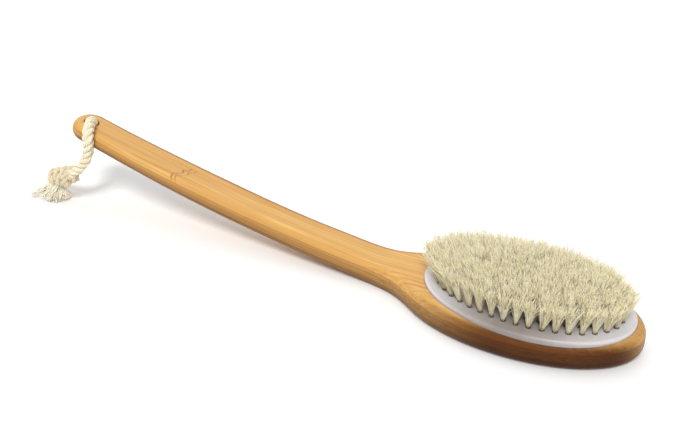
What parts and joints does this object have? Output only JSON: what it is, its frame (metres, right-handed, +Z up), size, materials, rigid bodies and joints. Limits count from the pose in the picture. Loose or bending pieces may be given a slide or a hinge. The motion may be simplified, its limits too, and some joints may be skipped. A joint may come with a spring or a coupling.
{
  "type": "body dry brush",
  "caption": "Long-handled bamboo bath brush with an oval head, a white plate of natural bristle tufts and a knotted cotton hanging rope.",
  "frame": {"origin": "on the resting surface, under the middle of the brush, which lies on its back", "axes": "+X along the brush to the tip of the head, +Z up, the way the bristles point"},
  "size_m": [0.403, 0.078, 0.0589],
  "materials": {
    "bamboo": "satin clear varnish over carbonised bamboo",
    "white_plastic": "smooth milky white",
    "boar_bristle": "natural cream bristle, matt",
    "anchor_wire": "drawn flat wire",
    "cotton_rope": "off-white twisted cotton"
  },
  "bodies": {
    "brush": {"face_ply": "bamboo", "core_ply": "bamboo", "back_ply": "bamboo", "bristle_plate": "white_plastic", "bristle_ring_1": "boar_bristle", "bristle_ring_2": "boar_bristle", "bristle_ring_3": "boar_bristle", "bristle_ring_4": "boar_bristle", "bristle_middle_row": "boar_bristle", "anchor_ring_1": "anchor_wire", "anchor_ring_2": "anchor_wire", "anchor_ring_3": "anchor_wire", "anchor_ring_4": "anchor_wire", "anchor_middle_row": "anchor_wire"},
    "hanging_cord": {"hanging_rope": "cotton_rope", "rope_knot": "cotton_rope", "rope_tassel": "cotton_rope"}
  },
  "joints": [
    {"name": "cord_swing", "type": "hinge", "parent": "brush", "child": "hanging_cord", "pos_m": [-0.17567, 0, 0.0478], "axis": [0.2596, 0, 0.9657], "range_deg": [-120, 0]}
  ]
}
